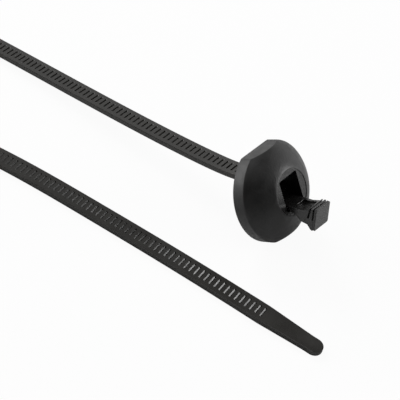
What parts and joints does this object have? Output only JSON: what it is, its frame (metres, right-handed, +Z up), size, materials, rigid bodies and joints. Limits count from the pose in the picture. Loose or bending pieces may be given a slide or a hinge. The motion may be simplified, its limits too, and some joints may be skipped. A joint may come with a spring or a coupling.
{
  "type": "button head cable tie",
  "caption": "Releasable cable tie with a domed button head, an aperture with a lever-operated pawl and a toothed strap lying in a loop.",
  "frame": {"origin": "middle of the bounding box's base, in the plane of the surface the tie lies on", "axes": "+X along the strap towards the button's domed side, +Y across the strap, away from the returning tail, +Z up"},
  "size_m": [0.1742, 0.0698, 0.0187],
  "materials": {
    "black_nylon": "black moulded nylon with a satin surface"
  },
  "bodies": {
    "root": {"button_head_cable_tie": "black_nylon"}
  },
  "joints": []
}
